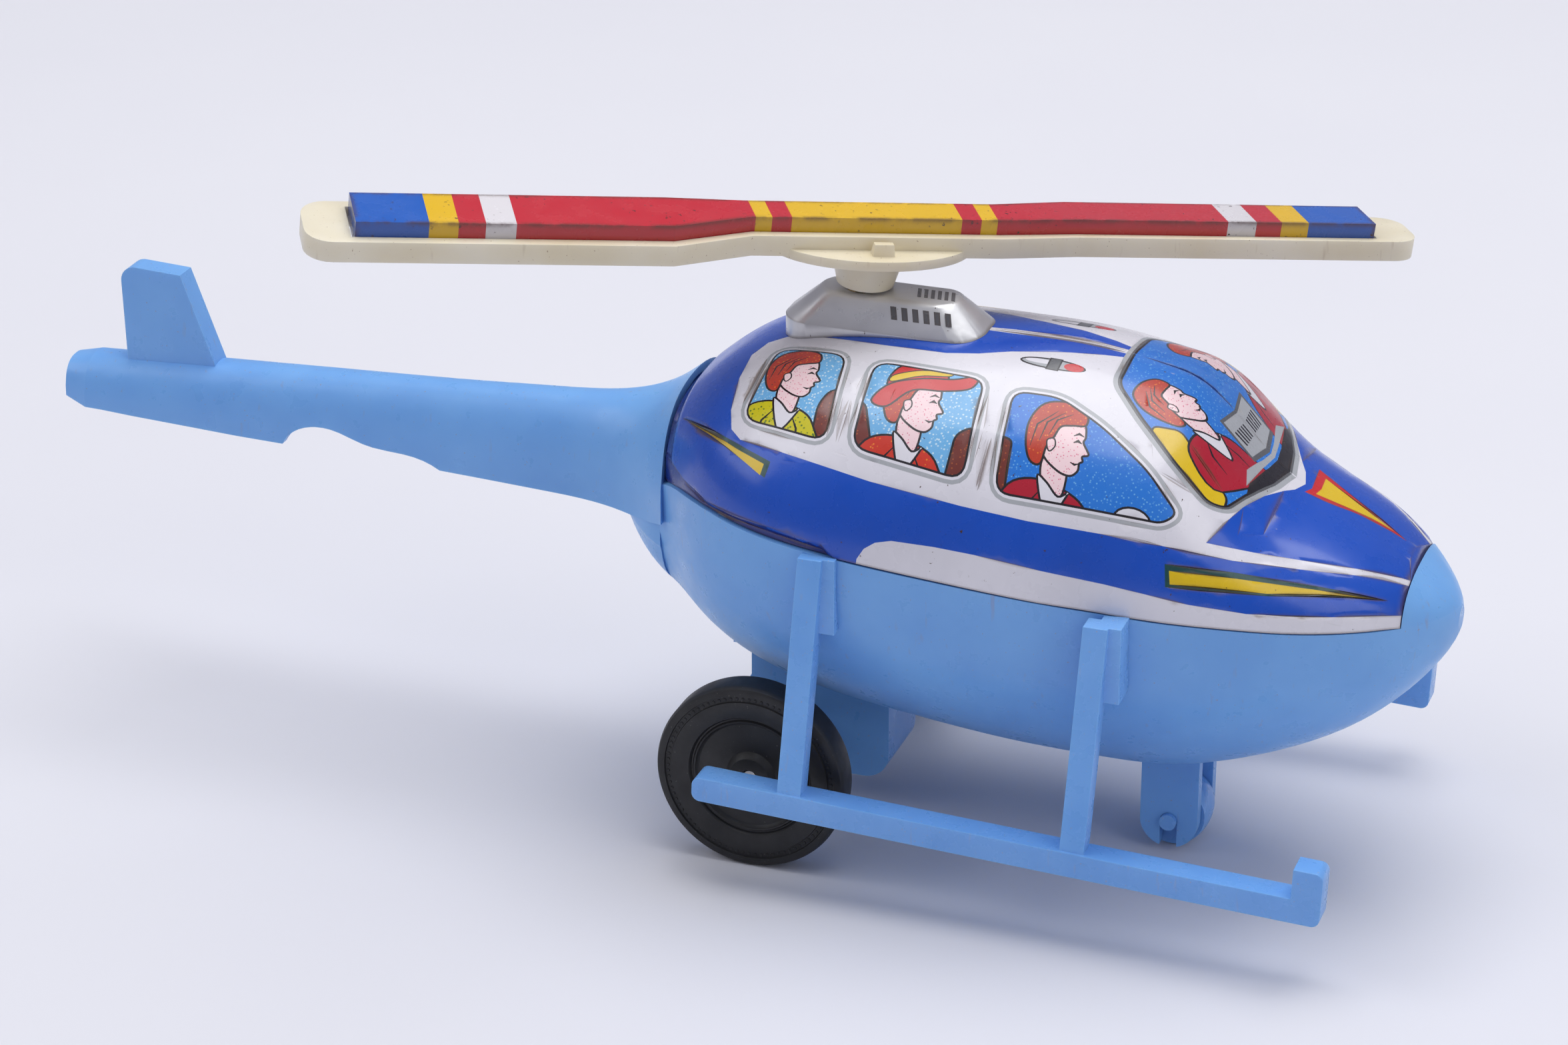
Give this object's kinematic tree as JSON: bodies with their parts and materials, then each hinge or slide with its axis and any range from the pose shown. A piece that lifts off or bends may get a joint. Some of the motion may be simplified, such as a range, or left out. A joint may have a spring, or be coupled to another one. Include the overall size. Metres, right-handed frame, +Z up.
{
  "type": "toy helicopter",
  "caption": "Friction-drive toy helicopter: printed tin cabin on a plastic hull with skids and tail boom, geared rear wheels and a tilted two-blade rotor.",
  "frame": {"origin": "on the floor, straight below the middle of the rear axle", "axes": "+X to the nose, +Y to the helicopter's left, +Z up"},
  "size_m": [0.227, 0.1006, 0.1039],
  "materials": {
    "hull_plastic": "pale blue injection-moulded styrene, satin gloss with scuffed edges",
    "litho_tin": "lithographed tin: glossy cobalt blue with white, yellow, red and printed windows, worn at the edges",
    "silver_tin": "silver lacquered tin with small chips and a printed dark grille",
    "cream_plastic": "aged cream plastic, slightly yellowed",
    "black_plastic": "black soft plastic, satin, dusty",
    "plain_steel": "pressed tinplate, plain",
    "shaft_steel": "bright drawn wire",
    "screw_steel": "zinc-plated screw steel",
    "brass_bush": "turned brass",
    "gear_plastic": "natural nylon",
    "flywheel_iron": "die-cast zinc alloy or iron, dark"
  },
  "bodies": {
    "root": {"lower_hull": "hull_plastic", "cabin_shell": "litho_tin", "engine_cowl": "silver_tin", "skid_right": "hull_plastic", "skid_left": "hull_plastic", "motor_cover": "hull_plastic", "cover_screw": "screw_steel", "motor_plate_right": "plain_steel", "motor_plate_left": "plain_steel", "plate_pillars": "plain_steel", "motor_bridge": "plain_steel", "bridge_screws": "screw_steel", "axle_bushes": "brass_bush", "rotor_bush_lower": "brass_bush", "rotor_bush_upper": "brass_bush"},
    "rotor": {"rotor_shaft": "shaft_steel", "rotor_pinion": "gear_plastic", "shaft_collar": "brass_bush", "rotor_frame": "cream_plastic", "rotor_blade": "litho_tin"},
    "rear_wheels": {"rear_axle": "shaft_steel", "wheel_right": "black_plastic", "wheel_left": "black_plastic", "axle_gear": "gear_plastic"},
    "idler": {"idler_shaft": "shaft_steel", "idler_pinion": "brass_bush", "crown_gear": "gear_plastic"},
    "flywheel_set": {"flywheel_shaft": "shaft_steel", "flywheel_pinion": "brass_bush", "flywheel": "flywheel_iron"},
    "front_wheel": {"front_wheel": "hull_plastic"}
  },
  "joints": [
    {"name": "rotor_spin", "type": "hinge", "parent": "root", "child": "rotor", "pos_m": [0.0012, 0, 0.02513], "axis": [0.1045, 0, 0.9945], "continuous": true},
    {"name": "axle_spin", "type": "hinge", "parent": "root", "child": "rear_wheels", "pos_m": [0, 0, 0.015], "axis": [0, 1, 0], "continuous": true},
    {"name": "idler_spin", "type": "hinge", "parent": "root", "child": "idler", "pos_m": [0.0012, 0, 0.02513], "axis": [0, 1, 0], "continuous": true},
    {"name": "flywheel_spin", "type": "hinge", "parent": "root", "child": "flywheel_set", "pos_m": [0.00776, 0, 0.03294], "axis": [0, 1, 0], "continuous": true},
    {"name": "front_wheel_spin", "type": "hinge", "parent": "root", "child": "front_wheel", "pos_m": [0.0589, 0, 0.00545], "axis": [0, 1, 0], "continuous": true}
  ],
  "couplings": [
    {"joint": "axle_spin", "follows": "rotor_spin", "ratio": 0.17361},
    {"joint": "idler_spin", "follows": "rotor_spin", "ratio": -0.41667},
    {"joint": "flywheel_spin", "follows": "rotor_spin", "ratio": 1.3542}
  ]
}
